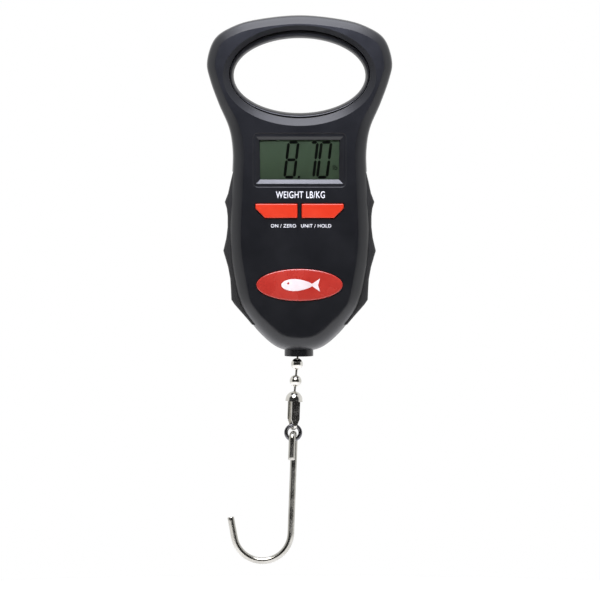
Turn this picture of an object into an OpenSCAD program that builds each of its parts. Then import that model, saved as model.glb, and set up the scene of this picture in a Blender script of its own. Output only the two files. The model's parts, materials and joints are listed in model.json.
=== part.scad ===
// Digital fish scale: two-part case with a hand opening, display, two keys, load cell, ball chain and hook.
// +Z up, +X to the right seen from the front, the front faces -Y. Y = 0 is the plane where the case halves meet.
// The origin lies on the top inner wall of the hand opening, where the hand carries the scale.

/* [Case] */
// Widest half width of the handle
handle_hw = 42.7; // [42:0.1:43.4]
// Height of the handle's top edge above the origin
handle_top = 10.6; // [10:0.1:11.2]
// Half width at the waist
waist_hw = 30.9; // [30.5:0.1:31.3]
// Half width at the lower bulb
bulb_hw = 32.3; // [32:0.1:32.6]
// Depth of the front face in front of the parting plane, at Z = 0
front_depth = 9.0; // [8.8:0.1:9.4]
// How much deeper the front face gets per mm downwards
front_slope = 0.028; // [0.026:0.001:0.03]
// Depth of the flat back behind the parting plane
rear_depth = 14; // [14:0.1:14.6]
// Wall thickness of the front face
face_wall = 2.0; // [1.8:0.1:2.2]
// Bevel width around the handle
bevel_handle = 3.9; // [3.6:0.1:4.1]
// Bevel width along the body
bevel_body = 5.5; // [5:0.1:6]

/* [Hand opening] */
// Half width of the narrowest part of the hand opening
grip_a = 30.4; // [30:0.1:30.8]
// Half height of the narrowest part of the hand opening
grip_b = 17.25; // [17:0.05:17.5]
// Half width of the opening at the front shell's inner edge
edge_a = 32.5; // [32.3:0.1:32.7]
// Half height of the opening at the front shell's inner edge
edge_b = 20.3; // [20.1:0.1:20.5]
// Half width of the opening at the front lip
lip_a = 35.3; // [35:0.1:35.5]
// Half height of the opening at the front lip
lip_b = 23.1; // [22.8:0.1:23.3]

/* [Display] */
// Width of the recess around the display
recess_w = 42.4; // [42:0.1:42.8]
// Height of the recess around the display
recess_h = 24.5; // [24:0.1:25]
// Visible width of the display
view_w = 36.2; // [35:0.1:37]
// Visible height of the display
view_h = 17.9; // [17:0.1:18.5]
// Height of the display's centre
view_z = -55.95; // [-56.2:0.05:-55.7]

/* [Keys] */
// Width of each key
key_w = 19.3; // [19:0.1:19.6]
// Height of each key
key_h = 6.5; // [6.2:0.1:6.8]
// Gap from the middle line to each key
key_gap = 1.0; // [0.9:0.1:1.2]
// How far the keys stand proud
key_proud = 0.8; // [0.7:0.1:0.9]
// Height of the keys' centre
key_z = -79.25; // [-79.5:0.05:-79]

/* [Badge] */
// Half width of the oval badge
badge_a = 19.85; // [19:0.05:20.5]
// Half height of the oval badge
badge_b = 7.35; // [7:0.05:7.6]
// Height of the badge's centre
badge_z = -113.3; // [-113.6:0.1:-113]

/* [Chain] */
// Outer radius of a bead
bead_r = 2.75; // [2.7:0.01:2.8]
// Wall thickness of a bead
bead_t = 0.5; // [0.45:0.01:0.55]
// Distance from a bead's centre to each link head's centre
head_off = 1.2; // [1.18:0.01:1.22]
// Radius of a link head
head_r = 1.12; // [1.1:0.01:1.14]
// Radius of a link's thin middle
link_r = 0.55; // [0.5:0.01:0.58]
// Distance between a link's two head centres
link_len = 5.5; // [5.4:0.05:5.6]
// Lean of the chain to the left
chain_lean = 4.7; // [4.6:0.05:4.8]

/* [Hook] */
// Radius of the hook wire
wire_r = 1.55; // [1.5:0.01:1.6]
// Radius of the hook's bend
bend_r = 13.2; // [13:0.1:13.4]
// Mean radius of the split ring
ring_r = 3.3; // [3.25:0.01:3.35]
// Radius of the split ring's section
ring_wire = 0.88; // [0.8:0.01:0.9]
// Height of the split ring's centre
ring_z = -182.3; // [-182.5:0.05:-182.1]
// Height of the centre of the hook's bend
bend_z = -229.4; // [-230:0.1:-229]

/* [Hidden] */
$fn = 48;

// colours
col_front = "#22252c";
col_rear = "#2c2d31";
col_grip = "#3b3b3e";
col_key = "#f0502e";
col_badge = "#b8322b";
col_steel = "#c4c6c8";
col_board = "#1f6b3a";

// right half of the case outline, from the top middle to the bottom middle: [half width, Z]
outline = [[0, handle_top], [20.5, handle_top - 2.1], [32.1, handle_top - 5.8], [39.4, -0.7],
    [handle_hw, -10.8], [41.3, -19.1], [37.3, -30.2], [32.6, -41.3], [waist_hw, -52], [31.2, -64],
    [32, -79], [bulb_hw, -90], [31.9, -100], [30.2, -111], [28.2, -120], [24.8, -127.5],
    [18.4, -136], [9.9, -142.8], [0, -144.6]];
outline_steps = 3;          // samples per outline span
cell_r = 5.25;              // AAA cell radius
cell_y = 7.3;               // depth of the cells' axes
cell_x = 5.6;               // cell axes either side of the middle
wall_handle = 1.8;
wall_body = 3.0;
grip_depth = 1.3;           // how deep the grips sit in the case
grip_front = -6.2;
grip_back = 8.5;
// outer edge of a grip: three finger peaks, [half width, Z]
grip_edge = [[30.7, -61.4], [31.8, -66], [33, -71.5], [34.5, -75.4], [33.6, -78.4], [33.2, -82],
    [33.2, -87], [33.8, -92], [35.2, -98], [34.3, -101], [33, -105.5], [32, -111], [31.7, -116],
    [31.5, -120.6], [30, -122.8], [27.2, -126], [24.2, -129.4], [22, -132]];
lens_y = -8.9;              // front of the display window
board_y = -3.6;             // front of the main board
board_t = 1.6;
case_screw_at = [[37.6, -14], [24.4, -70], [16.5, -127.5]];
board_screw_at = [[18.5, -71.4], [18.5, -88.5]];
beam_z = -108;              // centre height of the load cell beam
beam_h = 10;
beam_l = 42;
top_pivot = -135.92;        // height of the hanger's pivot
chain_pitch = link_len + 2 * head_off;
slope_angle = atan(front_slope);

function mix(a, b, t) = a + (b - a) * t;
function clamp(v) = min(1, max(0, v));
function smooth(v) = let (t = clamp(v)) t * t * (3 - 2 * t);
function front_y(z) = -front_depth + front_slope * z;

// Catmull-Rom point and direction on span i of list p, mirrored about X = 0 at both ends
function neighbour(p, i) = i < 0 ? [-p[1][0], p[1][1]]
    : i >= len(p) ? [-p[len(p) - 2][0], p[len(p) - 2][1]] : p[i];
function spline(p, i, t) = let (a = neighbour(p, i - 1), b = p[i], c = neighbour(p, i + 1), d = neighbour(p, i + 2))
    0.5 * (2 * b + (c - a) * t + (2 * a - 5 * b + 4 * c - d) * t * t + (3 * b - a - 3 * c + d) * t * t * t);
function spline_dir(p, i, t) = let (a = neighbour(p, i - 1), b = p[i], c = neighbour(p, i + 1), d = neighbour(p, i + 2))
    0.5 * ((c - a) + 2 * (2 * a - 5 * b + 4 * c - d) * t + 3 * (3 * b - a - 3 * c + d) * t * t);

half_n = (len(outline) - 1) * outline_steps;
function at(k) = k >= half_n ? [len(outline) - 2, 1] : [floor(k / outline_steps), (k % outline_steps) / outline_steps];
half_pts = [for (k = [0:half_n]) let (s = at(k)) spline(outline, s[0], s[1])];
half_in = [for (k = [0:half_n]) let (s = at(k), d = spline_dir(outline, s[0], s[1]), n = norm(d)) [d[1] / n, -d[0] / n]];
edge_table = [for (k = [half_n:-1:0]) [half_pts[k][1], half_pts[k][0]]];
function edge_x(z) = lookup(z, edge_table);

function bevel(z) = bevel_handle + (bevel_body - bevel_handle) * smooth((-25 - z) / 25) + 3 * smooth((-122 - z) / 16);
function wall(z) = wall_handle + (wall_body - wall_handle) * smooth((-35 - z) / 20);

// closed outline ring, moved inwards by a constant, a share of the bevel and a share of the wall
function ring(inset, bevels, walls) = [for (k = [0:2 * half_n - 1])
    let (right = k <= half_n, j = right ? k : 2 * half_n - k, p = half_pts[j], n = half_in[j],
        d = inset + bevels * bevel(p[1]) + walls * wall(p[1]), q = p + n * d)
    [right ? max(q[0], 0) : -max(q[0], 0), q[1]]];

// sum over a closed ring that tells which way it turns
function turning(r) = let (n = len(r)) [for (i = [1:n]) 1] * [for (i = [0:n - 1]) cross(r[i] - r[0], r[(i + 1) % n] - r[0])];
function middle(r) = [for (p = r) 1 / len(r)] * r;
// faces of a ring's end: one flat face, or, for a thin ring that goes along and comes back, a strip
function ring_end(n, strip) = !strip ? [[for (i = [0:n - 1]) i]]
    : [for (i = [0:n / 2 - 2]) each [[i, i + 1, n - 1 - i], [i + 1, n - 2 - i, n - 1 - i]]];
// solid through rings of 3-D points that all have the same count
module loft(given, strip = false) {
    ahead = turning(given[0]) * (middle(given[1]) - middle(given[0])) > 0;
    rings = ahead ? given : [for (i = [len(given) - 1:-1:0]) given[i]];
    n = len(rings[0]);
    m = len(rings);
    polyhedron(points = [for (r = rings) each r],
        faces = concat(ring_end(n, strip), [for (f = ring_end(n, strip)) [for (i = [len(f) - 1:-1:0]) (m - 1) * n + f[i]]],
            [for (j = [0:m - 2]) for (i = [0:n - 1]) each
                [[j * n + i, (j + 1) * n + i, (j + 1) * n + (i + 1) % n], [j * n + i, (j + 1) * n + (i + 1) % n, j * n + (i + 1) % n]]]));
}

function front_ring(share, inset, bevels, walls, back = 0) =
    [for (p = ring(inset, bevels, walls)) [p[0], share * front_y(p[1]) + back, p[1]]];
function rear_ring(y, inset, bevels, walls) = [for (p = ring(inset, bevels, walls)) [p[0], y, p[1]]];
function oval(a, b, z, y, n = 72) = [for (i = [0:n - 1]) let (t = 360 * i / n) [a * sin(t), y, z + b * cos(t)]];

module front_form() loft([front_ring(0, 0, 0, 0), front_ring(0.35, 0, 0.06, 0), front_ring(0.7, 0, 0.3, 0),
    front_ring(0.92, 0, 0.66, 0), front_ring(1, 0, 1, 0)]);
module front_cavity() loft([front_ring(0, 0, 0, 1, 0.2), front_ring(0.5, 0, 0.12, 1),
    front_ring(1, 0, 0.85, 1, face_wall)]);
module rear_form() loft([rear_ring(0, 0, 0, 0), rear_ring(0.4 * rear_depth, 0, 0.06, 0),
    rear_ring(0.74 * rear_depth, 0, 0.3, 0), rear_ring(0.93 * rear_depth, 0, 0.66, 0), rear_ring(rear_depth, 0, 1, 0)]);
module rear_cavity() loft([rear_ring(-0.2, 0, 0, 1), rear_ring(0.55 * rear_depth, 0, 0.12, 1),
    rear_ring(rear_depth - face_wall, 0, 0.85, 1)]);

// space of the hand opening, made wider by a wall
module front_opening(w) loft([oval(edge_a + w, edge_b + w, -16.5, 1), oval(edge_a + w, edge_b + w, -16.5, -2.6),
    oval(lip_a + 0.8 + w, lip_b + 0.8 + w, -17.5, -11.5)]);
module rear_opening(w) loft([oval(grip_a + w, grip_b + w, -17.25, -4), oval(grip_a + w, grip_b + w, -17.25, 5),
    oval(grip_a + 1.2 + w, grip_b + 1.2 + w, -17.25, 10), oval(grip_a + 4.4 + w, grip_b + 4.4 + w, -17.25, rear_depth + 0.5)]);

// children stand on the sloping front face at height z, their +Z pointing out of it
module on_front(z) translate([0, front_y(z), z]) rotate([-slope_angle, 0, 0]) rotate([90, 0, 0]) children();
// children's +Z points to the front, their +Y up
module facing(z = 0, y = 0, x = 0) translate([x, y, z]) rotate([90, 0, 0]) children();
module plate(w, h, r, t) linear_extrude(t) rounded(w, h, r);
module rounded(w, h, r) {
    square([w - 2 * r, h], center = true);
    square([w, h - 2 * r], center = true);
    for (x = [-1, 1]) for (y = [-1, 1]) translate([x * (w / 2 - r), y * (h / 2 - r)]) circle(r = r, $fn = 24);
}
module both() { children(); mirror([1, 0, 0]) children(); }
module box(a, b) translate(a) cube(b - a);

// ---- grips ----
function fine(p) = [for (i = [0:len(p) - 2]) each [p[i], (p[i] + p[i + 1]) / 2], p[len(p) - 1]];
grip_pts = fine(grip_edge);
function grip_ring(y, share, inset) = concat(
    [for (p = grip_pts) [max(mix(edge_x(p[1]) - inset, p[0], share), edge_x(p[1]) - grip_depth + 0.15), y, p[1]]],
    [for (i = [len(grip_pts) - 1:-1:0]) [edge_x(grip_pts[i][1]) - grip_depth, y, grip_pts[i][1]]]);
module grip_recess(a, b) facing(y = b) linear_extrude(b - a) polygon(concat(
    [for (p = grip_pts) [edge_x(p[1]) - grip_depth, p[1]]],
    [[60, grip_pts[len(grip_pts) - 1][1]], [60, grip_pts[0][1]]]));
module grip() loft([grip_ring(grip_front, 0.1, 0.6), grip_ring(-5, 0.75, 0.2), grip_ring(-2.8, 1, 0),
    grip_ring(3.6, 1, 0), grip_ring(6.8, 0.6, 0.2), grip_ring(grip_back, 0, 0.6)], true);
module right_grip() color(col_grip) grip();
module left_grip() color(col_grip) mirror([1, 0, 0]) grip();

// ---- case ----
module key_shape(grow) {
    a = key_w / 2 + grow;
    b = key_h / 2 + grow;
    c = 4.4 - 0.4 * grow;
    polygon([[-a, b], [a, b], [a, -b], [-a + c, -b], [-a, -b + c]]);
}
module key_place(side) on_front(key_z) translate([side * (key_gap + key_w / 2), 0, 0]) mirror([side > 0 ? 1 : 0, 0, 0]) children();

module window_bevel() facing(view_z, lens_y) {
    hull() {
        translate([0, 0, -0.01]) plate(view_w, view_h, 0.6, 0.01);
        translate([0, 0, 1.4]) plate(view_w + 3.8, view_h + 3.6, 1.2, 0.01);
    }
    translate([0, 0, 1.4]) plate(view_w + 3.8, view_h + 3.6, 1.2, 3);
}

module front_shell() color(col_front) difference() {
    union() {
        difference() {
            front_form();
            difference() {
                front_cavity();
                front_opening(1.6);
            }
        }
        intersection() {
            front_form();
            union() {
                both() for (p = case_screw_at) facing(p[1], -0.1, p[0]) cylinder(r = 2.8, h = 12);
                both() for (p = board_screw_at) facing(p[1], board_y, p[0]) cylinder(r = 2.0, h = 8);
                facing(-139.5, 0) bush_collar(6.4, 5.6);
            }
        }
    }
    front_opening(0);
    both() grip_recess(grip_front, 1);
    both() for (p = case_screw_at) facing(p[1], 0.1, p[0]) cylinder(r = 1.1, h = 6.9);
    both() for (p = board_screw_at) facing(p[1], 0, p[0]) cylinder(r = 0.8, h = 8.4);
    window_bevel();
    facing(view_z, -9.2) plate(view_w, view_h, 0.6, 3);
    facing(view_z, -4) plate(40.6, 22.1, 1.4, -lens_y - 4);
    on_front(view_z) translate([0, 0, -0.45]) plate(recess_w, recess_h, 2, 2);
    key_place(-1) translate([0, 0, -4]) linear_extrude(6) key_shape(0.2);
    key_place(1) translate([0, 0, -4]) linear_extrude(6) key_shape(0.2);
    on_front(badge_z) translate([0, 0, -0.5]) linear_extrude(2) polygon([for (p = oval(badge_a + 0.15, badge_b + 0.15, 0, 0)) [p[0], p[2]]]);
    bush_space();
}
// block that carries the bush, in front of the parting plane
module bush_collar(r, h) translate([0, 0, -0.1]) translate([-r - 2, -h, 0]) cube([2 * r + 4, 2 * h, 9]);
// space of the outlet bush: a groove at the flange and a neck below it
module bush_space() {
    translate([-0.3, 0, -140.6]) cylinder(r = 7.3, h = 2.2);
    translate([-0.3, 0, -150]) cylinder(r = 5.75, h = 12);
    translate([-0.3, 0, -150]) cylinder(r = 6.75, h = 7.2);
    translate([-0.3, 0, -136]) cylinder(r = 5.0, h = 8, center = true);
}

module battery_box() difference() {
    box([-12.6, 0.6, -97.6], [12.6, rear_depth - 0.5, -45.3]);
    box([-11.4, 1.9, -96.2], [11.4, rear_depth + 1, -46.6]);
}
module door_opening() {
    box([-13.5, rear_depth - 1.4, -97.9], [13.5, rear_depth + 1, -46]);
    box([-11.4, rear_depth - 2.9, -48], [11.4, rear_depth + 1, -43.8]);
    translate([0, rear_depth - 1.15, -45.3]) rotate([0, 90, 0]) cylinder(r = 0.85, h = 26.4, center = true);
    box([-4.5, rear_depth - 1.4, -100.6], [4.5, rear_depth + 1, -97]);
}

module rear_shell() color(col_rear) difference() {
    union() {
        difference() {
            rear_form();
            difference() {
                rear_cavity();
                rear_opening(1.8);
            }
        }
        loft([oval(edge_a - 0.2, edge_b - 0.2, -16.5, 0.5), oval(edge_a - 0.2, edge_b - 0.2, -16.5, -2.4)]);
        intersection() {
            rear_form();
            union() {
                both() for (p = case_screw_at) facing(p[1], rear_depth, p[0]) cylinder(r = 3.8, h = rear_depth);
                for (x = [-18, -12]) facing(beam_z - 1, rear_depth - 0.5, x) cylinder(r = 3.4, h = rear_depth - 0.5 - 6.5);
                mirror([0, 1, 0]) facing(-139.5, 0) bush_collar(6.4, 5.6);
                box([-13.4, rear_depth - 3.4, -101.5], [13.4, rear_depth, -43]);
            }
        }
        battery_box();
    }
    rear_opening(0);
    both() grip_recess(-1, grip_back);
    both() for (p = case_screw_at) {
        facing(p[1], rear_depth + 1, p[0]) cylinder(r = 2.7, h = rear_depth - 6.4 + 1);
        facing(p[1], 8, p[0]) cylinder(r = 1.3, h = 9);
    }
    for (x = [-18, -12]) facing(beam_z - 1, 11.6, x) cylinder(r = 1.2, h = 6);
    box([-11.4, 1.9, -96.2], [11.4, rear_depth + 1, -46.6]);
    door_opening();
    bush_space();
    // slots that the battery leads leave through
    for (x = [-9.2, 7.4]) box([x, 0, -47.6], [x + 1.8, 3, -46.5]);
}

module outlet_bush() color(col_front) translate([-0.3, 0, 0]) rotate_extrude() difference() {
    union() {
        translate([0, -146.7]) square([6.65, 3.8]);
        translate([0, -143]) square([5.6, 4.8]);
        translate([0, -140.4]) square([7.1, 1.8]);
    }
    translate([0, -160]) square([4.3, 40]);
    polygon([[0, -146.8], [5.1, -146.8], [4.3, -145.9], [0, -145.9]]);
}

module display_lens() color("#9fb0a8", 0.35) facing(view_z, lens_y + 1) plate(40, 21.5, 1.2, 1);
module lens_adhesive() color("#141416") facing(view_z, lens_y + 1.35) difference() {
    plate(40, 21.5, 1.2, 0.35);
    translate([0, 0, -1]) plate(view_w + 0.4, view_h + 0.4, 0.6, 3);
}
module lcd_panel() color("#4c5a47") facing(view_z, -5.5) {
    plate(39.6, 18.6, 0.4, 1);
    translate([0, 0, 1]) plate(39.6, 21.4, 0.4, 1.05);
}
module lcd_holder() color("#e4e3dd") facing(view_z, board_y) difference() {
    union() {
        plate(42, 24.4, 1, 3.9);
        both() translate([20.2, 0, 0]) cylinder(r = 1, h = 1);
    }
    translate([0, 0, -1]) plate(39.9, 21.8, 0.5, 6);
}
module zebra_strips() color("#2b2b2e") for (s = [-1, 1]) facing(view_z + s * 10.05, board_y) plate(37, 1.3, 0.2, 2.9);

module main_board() color(col_board) difference() {
    facing(-68.6, board_y + board_t) plate(42.4, 50.8, 1, board_t);
    both() for (p = board_screw_at) facing(p[1], 0, p[0]) cylinder(r = 1.05, h = 6);
}
module controller_chip() color("#17181a") facing(-62, board_y + board_t, 0) translate([0, 0, -1.15]) plate(9, 9, 0.8, 1.15);
module board_components() {
    for (p = [[-12, -60], [-8.6, -60], [-12, -64.5], [8.5, -59], [11.6, -59], [8.5, -63.5], [-6, -72], [6, -72]])
        color("#b59a6a") facing(p[1], board_y + board_t, p[0]) translate([0, 0, -0.6]) plate(2, 1.2, 0.1, 0.6);
    color("#c9cbce") facing(-76, board_y + board_t, 0) translate([0, 0, -2.1]) plate(3.2, 8, 0.5, 2.1);
}
module switch_bodies() color("#1b1b1d") for (s = [-1, 1]) difference() {
    facing(key_z, board_y, s * (key_gap + key_w / 2)) plate(6, 6, 0.4, 3);
    facing(key_z, board_y - 0.8, s * (key_gap + key_w / 2)) cylinder(r = 1.95, h = 3);
}
module plunger(s) color("#8c2a22") facing(key_z, -5.3, s * (key_gap + key_w / 2)) cylinder(r = 1.75, h = 2.6);
module power_plunger() plunger(-1);
module units_plunger() plunger(1);
module key(s) color(col_key) difference() {
    key_place(s) {
        translate([0, 0, -2.6]) linear_extrude(2.6 + key_proud) key_shape(0);
        translate([0, 0, -3.1]) linear_extrude(0.9) key_shape(0.7);
    }
    facing(key_z, -7.93, s * (key_gap + key_w / 2)) translate([0, 0, -2]) cylinder(r = 2.2, h = 2);
}
module power_button() key(-1);
module units_button() key(1);

module badge() color(col_badge) on_front(badge_z) translate([0, 0, -0.5]) {
    linear_extrude(0.8) polygon([for (p = oval(badge_a, badge_b, 0, 0)) [p[0], p[2]]]);
    linear_extrude(1.1) polygon([for (p = oval(badge_a - 0.9, badge_b - 0.9, 0, 0)) [p[0], p[2]]]);
}

// screw with its head's underside at the origin, pointing along +Z
module screw(r, l, head_r, head_h) difference() {
    union() {
        cylinder(r = r, h = l);
        translate([0, 0, -head_h]) cylinder(r = head_r, h = head_h);
    }
    for (a = [0, 90]) rotate([0, 0, a]) translate([-head_r * 0.6, -0.3, -head_h - 1]) cube([head_r * 1.2, 0.6, 1 + head_h * 0.5]);
}
module case_screws() color(col_steel) both() for (p = case_screw_at) facing(p[1], 6.4, p[0]) screw(1.1, 12.6, 2.3, 1.6);
module board_screws() color(col_steel) both() for (p = board_screw_at) facing(p[1], board_y + board_t, p[0]) screw(0.8, 5.6, 1.7, 1.1);

// ---- load cell ----
module load_cell() color("#cfd1d3") difference() {
    box([-beam_l / 2, -5, beam_z - beam_h / 2], [beam_l / 2, 5, beam_z + beam_h / 2]);
    for (x = [-4.6, 4.6]) translate([x, 0, beam_z]) rotate([90, 0, 0]) cylinder(r = 3.9, h = 20, center = true);
    box([-4.6, -6, beam_z - 1.2], [4.6, 6, beam_z + 1.2]);
    for (x = [-18, -12]) translate([x, 0, beam_z - 1]) rotate([90, 0, 0]) cylinder(r = 1.6, h = 20, center = true);
    for (x = [12.5, 17.5]) translate([x, 0, beam_z - 5.1]) cylinder(r = 1.1, h = 7);
}
module backing_plate() color("#9a9da0") difference() {
    box([-beam_l / 2, 5, beam_z - 6], [-9.2, 6.5, beam_z + 5]);
    for (x = [-18, -12]) translate([x, 0, beam_z - 1]) rotate([90, 0, 0]) cylinder(r = 1.6, h = 20, center = true);
}
module load_cell_screws() color(col_steel) for (x = [-18, -12]) translate([x, -5, beam_z - 1]) rotate([-90, 0, 0]) screw(1.2, 16.4, 2.6, 1.6);
module strain_gauges() color("#c99d3a") for (s = [-1, 1]) for (x = [-4.6, 4.6])
    box([x - 1.5, -2.5, s > 0 ? beam_z + 5 : beam_z - 5.15], [x + 1.5, 2.5, s > 0 ? beam_z + 5.15 : beam_z - 5]);
module loading_arm() color("#b7babd") difference() {
    union() {
        box([9.4, -4.5, beam_z - 8.6], [beam_l / 2, 4.5, beam_z - 5]);
        box([-5, -4.5, beam_z - 10.4], [beam_l / 2, 4.5, beam_z - 8.6]);
    }
    for (x = [12.5, 17.5]) translate([x, 0, beam_z - 12]) cylinder(r = 1.3, h = 8);
    translate([0, 0, beam_z - 12]) cylinder(r = 1.75, h = 8);
}
module arm_screws() color(col_steel) for (x = [12.5, 17.5]) translate([x, 0, beam_z - 10.4]) screw(1.1, 7, 2.1, 1.4);

// headed rod from the loading arm down to a cup that holds the chain's first link head
module hanger() color(col_steel) rotate_extrude() difference() {
    union() {
        translate([0, beam_z - 8.6]) square([3, 1.5]);
        translate([0, top_pivot + 2]) square([1.5, beam_z - 8.6 - top_pivot - 1.5]);
        translate([0, top_pivot - 1.9]) square([2.5, 5.2]);
    }
    translate([0, top_pivot]) intersection() {
        circle(r = 1.45);
        translate([0, -5]) square([5, 10]);
    }
    polygon([[0, top_pivot - 2], [1.5, top_pivot - 2], [0.95, top_pivot - 0.9], [0, top_pivot - 0.9]]);
}

// ---- chain ----
module chain_at(s) translate([0, 0, top_pivot]) rotate([0, chain_lean, 0]) translate([0, 0, -s]) children();
module link() {
    sphere(r = head_r, $fn = 24);
    translate([0, 0, -link_len]) sphere(r = head_r, $fn = 24);
    translate([0, 0, -link_len]) cylinder(r = link_r, h = link_len, $fn = 16);
}
module bead() difference() {
    sphere(r = bead_r, $fn = 36);
    sphere(r = bead_r - bead_t, $fn = 36);
    translate([0, 0, -4]) cylinder(r = 1.0, h = 8, $fn = 24);
}
function link_s(i) = i * chain_pitch;
function bead_s(i) = link_len + head_off + i * chain_pitch;
module chain_link_0() color(col_steel) chain_at(link_s(0)) link();
module chain_link_1() color(col_steel) chain_at(link_s(1)) link();
module chain_link_2() color(col_steel) chain_at(link_s(2)) link();
module chain_link_3() color(col_steel) chain_at(link_s(3)) link();
module chain_bead_0() color(col_steel) chain_at(bead_s(0)) bead();
module chain_bead_1() color(col_steel) chain_at(bead_s(1)) bead();
module chain_bead_2() color(col_steel) chain_at(bead_s(2)) bead();

bell_s = link_s(3) + link_len;      // the bell's pivot
bell_top = 1.9;                     // from the pivot up to the bell's top
strap_turn = 28;                    // turn of the strap about Z
strap_gap = 3.2;                    // clear width between the strap's legs
strap_t = 0.55;
function chain_x(s) = -s * sin(chain_lean);
function chain_z(s) = top_pivot - s * cos(chain_lean);
bell_x = chain_x(bell_s);
bell_z = chain_z(bell_s);
ring_x = -2.95;
fold_z = ring_z + ring_r;           // height of the ring's pivot in the strap

strap_lean = 2;
strap_len = 13.15;                  // from the fold's centre up to the ends of the strap's legs
strap_rise = 0.1;                   // of the fold's centre above the ring's pivot
fold_hw = 0.72;                     // half width of the strap at the fold
module coupling_bell() color(col_steel) translate([bell_x, 0, bell_z]) rotate([0, chain_lean, 0]) rotate_extrude() difference() {
    union() {
        intersection() {
            translate([0, bell_top - 3.9]) circle(r = 3.9);
            translate([0, bell_top - 3.9]) square([5, 5]);
        }
        translate([0, bell_top - 4.6]) square([3.9, 0.8]);
        translate([0, bell_top - 4.6]) square([4.05, 0.3]);
    }
    intersection() {
        translate([0, bell_top - 3.9]) circle(r = 3.35);
        translate([0, bell_top - 3.9]) square([5, 5]);
    }
    translate([0, bell_top - 5]) square([3.35, 1.2]);
    translate([0, -5]) square([1.05, 10]);
}
// folded strap: two legs up into the bell and a round fold under the ring's wire
module coupling_strap() color(col_steel) translate([ring_x, 0, fold_z + strap_rise]) rotate([0, strap_lean, 0]) rotate([0, 0, strap_turn]) difference() {
    rotate([0, 90, 0]) linear_extrude(4.2, center = true) difference() {
        union() {
            circle(r = strap_gap / 2 + strap_t);
            translate([-strap_len, -strap_gap / 2 - strap_t]) square([strap_len, strap_gap + 2 * strap_t]);
        }
        circle(r = strap_gap / 2);
        translate([-strap_len - 1, -strap_gap / 2]) square([strap_len + 1, strap_gap]);
    }
    for (s = [-1, 1]) rotate([90, 0, 0]) linear_extrude(12, center = true)
        polygon([[s * fold_hw, -4], [s * fold_hw, -0.6], [s * 2.2, 3.2], [s * 4, 3.2], [s * 4, -4]]);
}

module split_ring() color("#8d8f92") translate([ring_x, 0, ring_z]) rotate([90, 0, 0]) rotate_extrude() translate([ring_r, 0]) circle(r = ring_wire, $fn = 28);

// ---- hook ----
hook_lean = 2.1;
eye_r = 2.95;                       // radius of the eye's round top, to the wire's middle
eye_turn = -10;
eye_z = ring_z - ring_r - 0.25;     // centre of the eye's round top
eye_leg = 9;                        // straight length of the eye's cut leg
bend_turn = 169.2;                  // how far the bend turns the wire
tip_l = 9.3;                        // straight length after the bend
shank_x = -eye_r * sin(eye_turn);
shank_y = eye_r * cos(eye_turn);
shank_l = (eye_z - bend_z) / cos(hook_lean);
module hook_frame() translate([ring_x, 0, eye_z]) rotate([0, hook_lean, 0]) children();
module rod(l, gap = 0.05) translate([0, 0, gap]) cylinder(r = wire_r, h = l - 2 * gap, $fn = 28);
module wire_arc(r, a) rotate_extrude(angle = a) translate([r, 0]) circle(r = wire_r, $fn = 28);
// thin disc where a straight stretch of wire meets a bent one
module weld() cylinder(r = wire_r + 0.05, h = 0.4, center = true, $fn = 28);
module hook() color(col_steel) hook_frame() {
    rotate([0, 0, eye_turn]) {
        rotate([90, 0, 90]) wire_arc(eye_r, 180);
        translate([0, -eye_r, -eye_leg]) rod(eye_leg);
        for (s = [-1, 1]) translate([0, s * eye_r, 0]) weld();
    }
    translate([shank_x, shank_y, -shank_l]) {
        rod(shank_l);
        weld();
        translate([-bend_r, 0, 0]) rotate([90, 0, 0]) rotate([0, 0, -bend_turn]) wire_arc(bend_r, bend_turn);
        translate([bend_r * (cos(bend_turn) - 1), 0, -bend_r * sin(bend_turn)]) rotate([0, bend_turn - 180, 0]) {
            rod(tip_l);
            weld();
        }
    }
}

// ---- power ----
door_axis_y = rear_depth - 1.15;
door_axis_z = -45.3;
module battery_door() color(col_rear) difference() {
    union() {
        box([-11.1, rear_depth - 1.35, -97.7], [11.1, rear_depth, -46.2]);
        box([-13.3, rear_depth - 1.35, -97.7], [13.3, rear_depth, -46.75]);
        box([-10.6, rear_depth - 1.35, -46.3], [10.6, rear_depth - 0.5, door_axis_z]);
        translate([0, door_axis_y, door_axis_z]) rotate([0, 90, 0]) cylinder(r = 0.75, h = 22.2, center = true);
        translate([0, door_axis_y, door_axis_z]) rotate([0, 90, 0]) cylinder(r = 0.6, h = 26, center = true);
    }
    // grooves for the thumb
    for (i = [0:4]) box([-5, rear_depth - 0.4, -94.5 + 1.6 * i], [5, rear_depth + 1, -93.8 + 1.6 * i]);
}
// AAA cell standing on its flat end
module cell(z, up) translate([up ? -cell_x : cell_x, cell_y, z]) mirror([0, 0, up ? 0 : 1]) {
    cylinder(r = cell_r, h = 43.7);
    cylinder(r = 1.9, h = 44.5);
}
module cell_left() color("#c9a13a") cell(-91.6, true);
module cell_right() color("#c9a13a") cell(-51.2, false);
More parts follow.
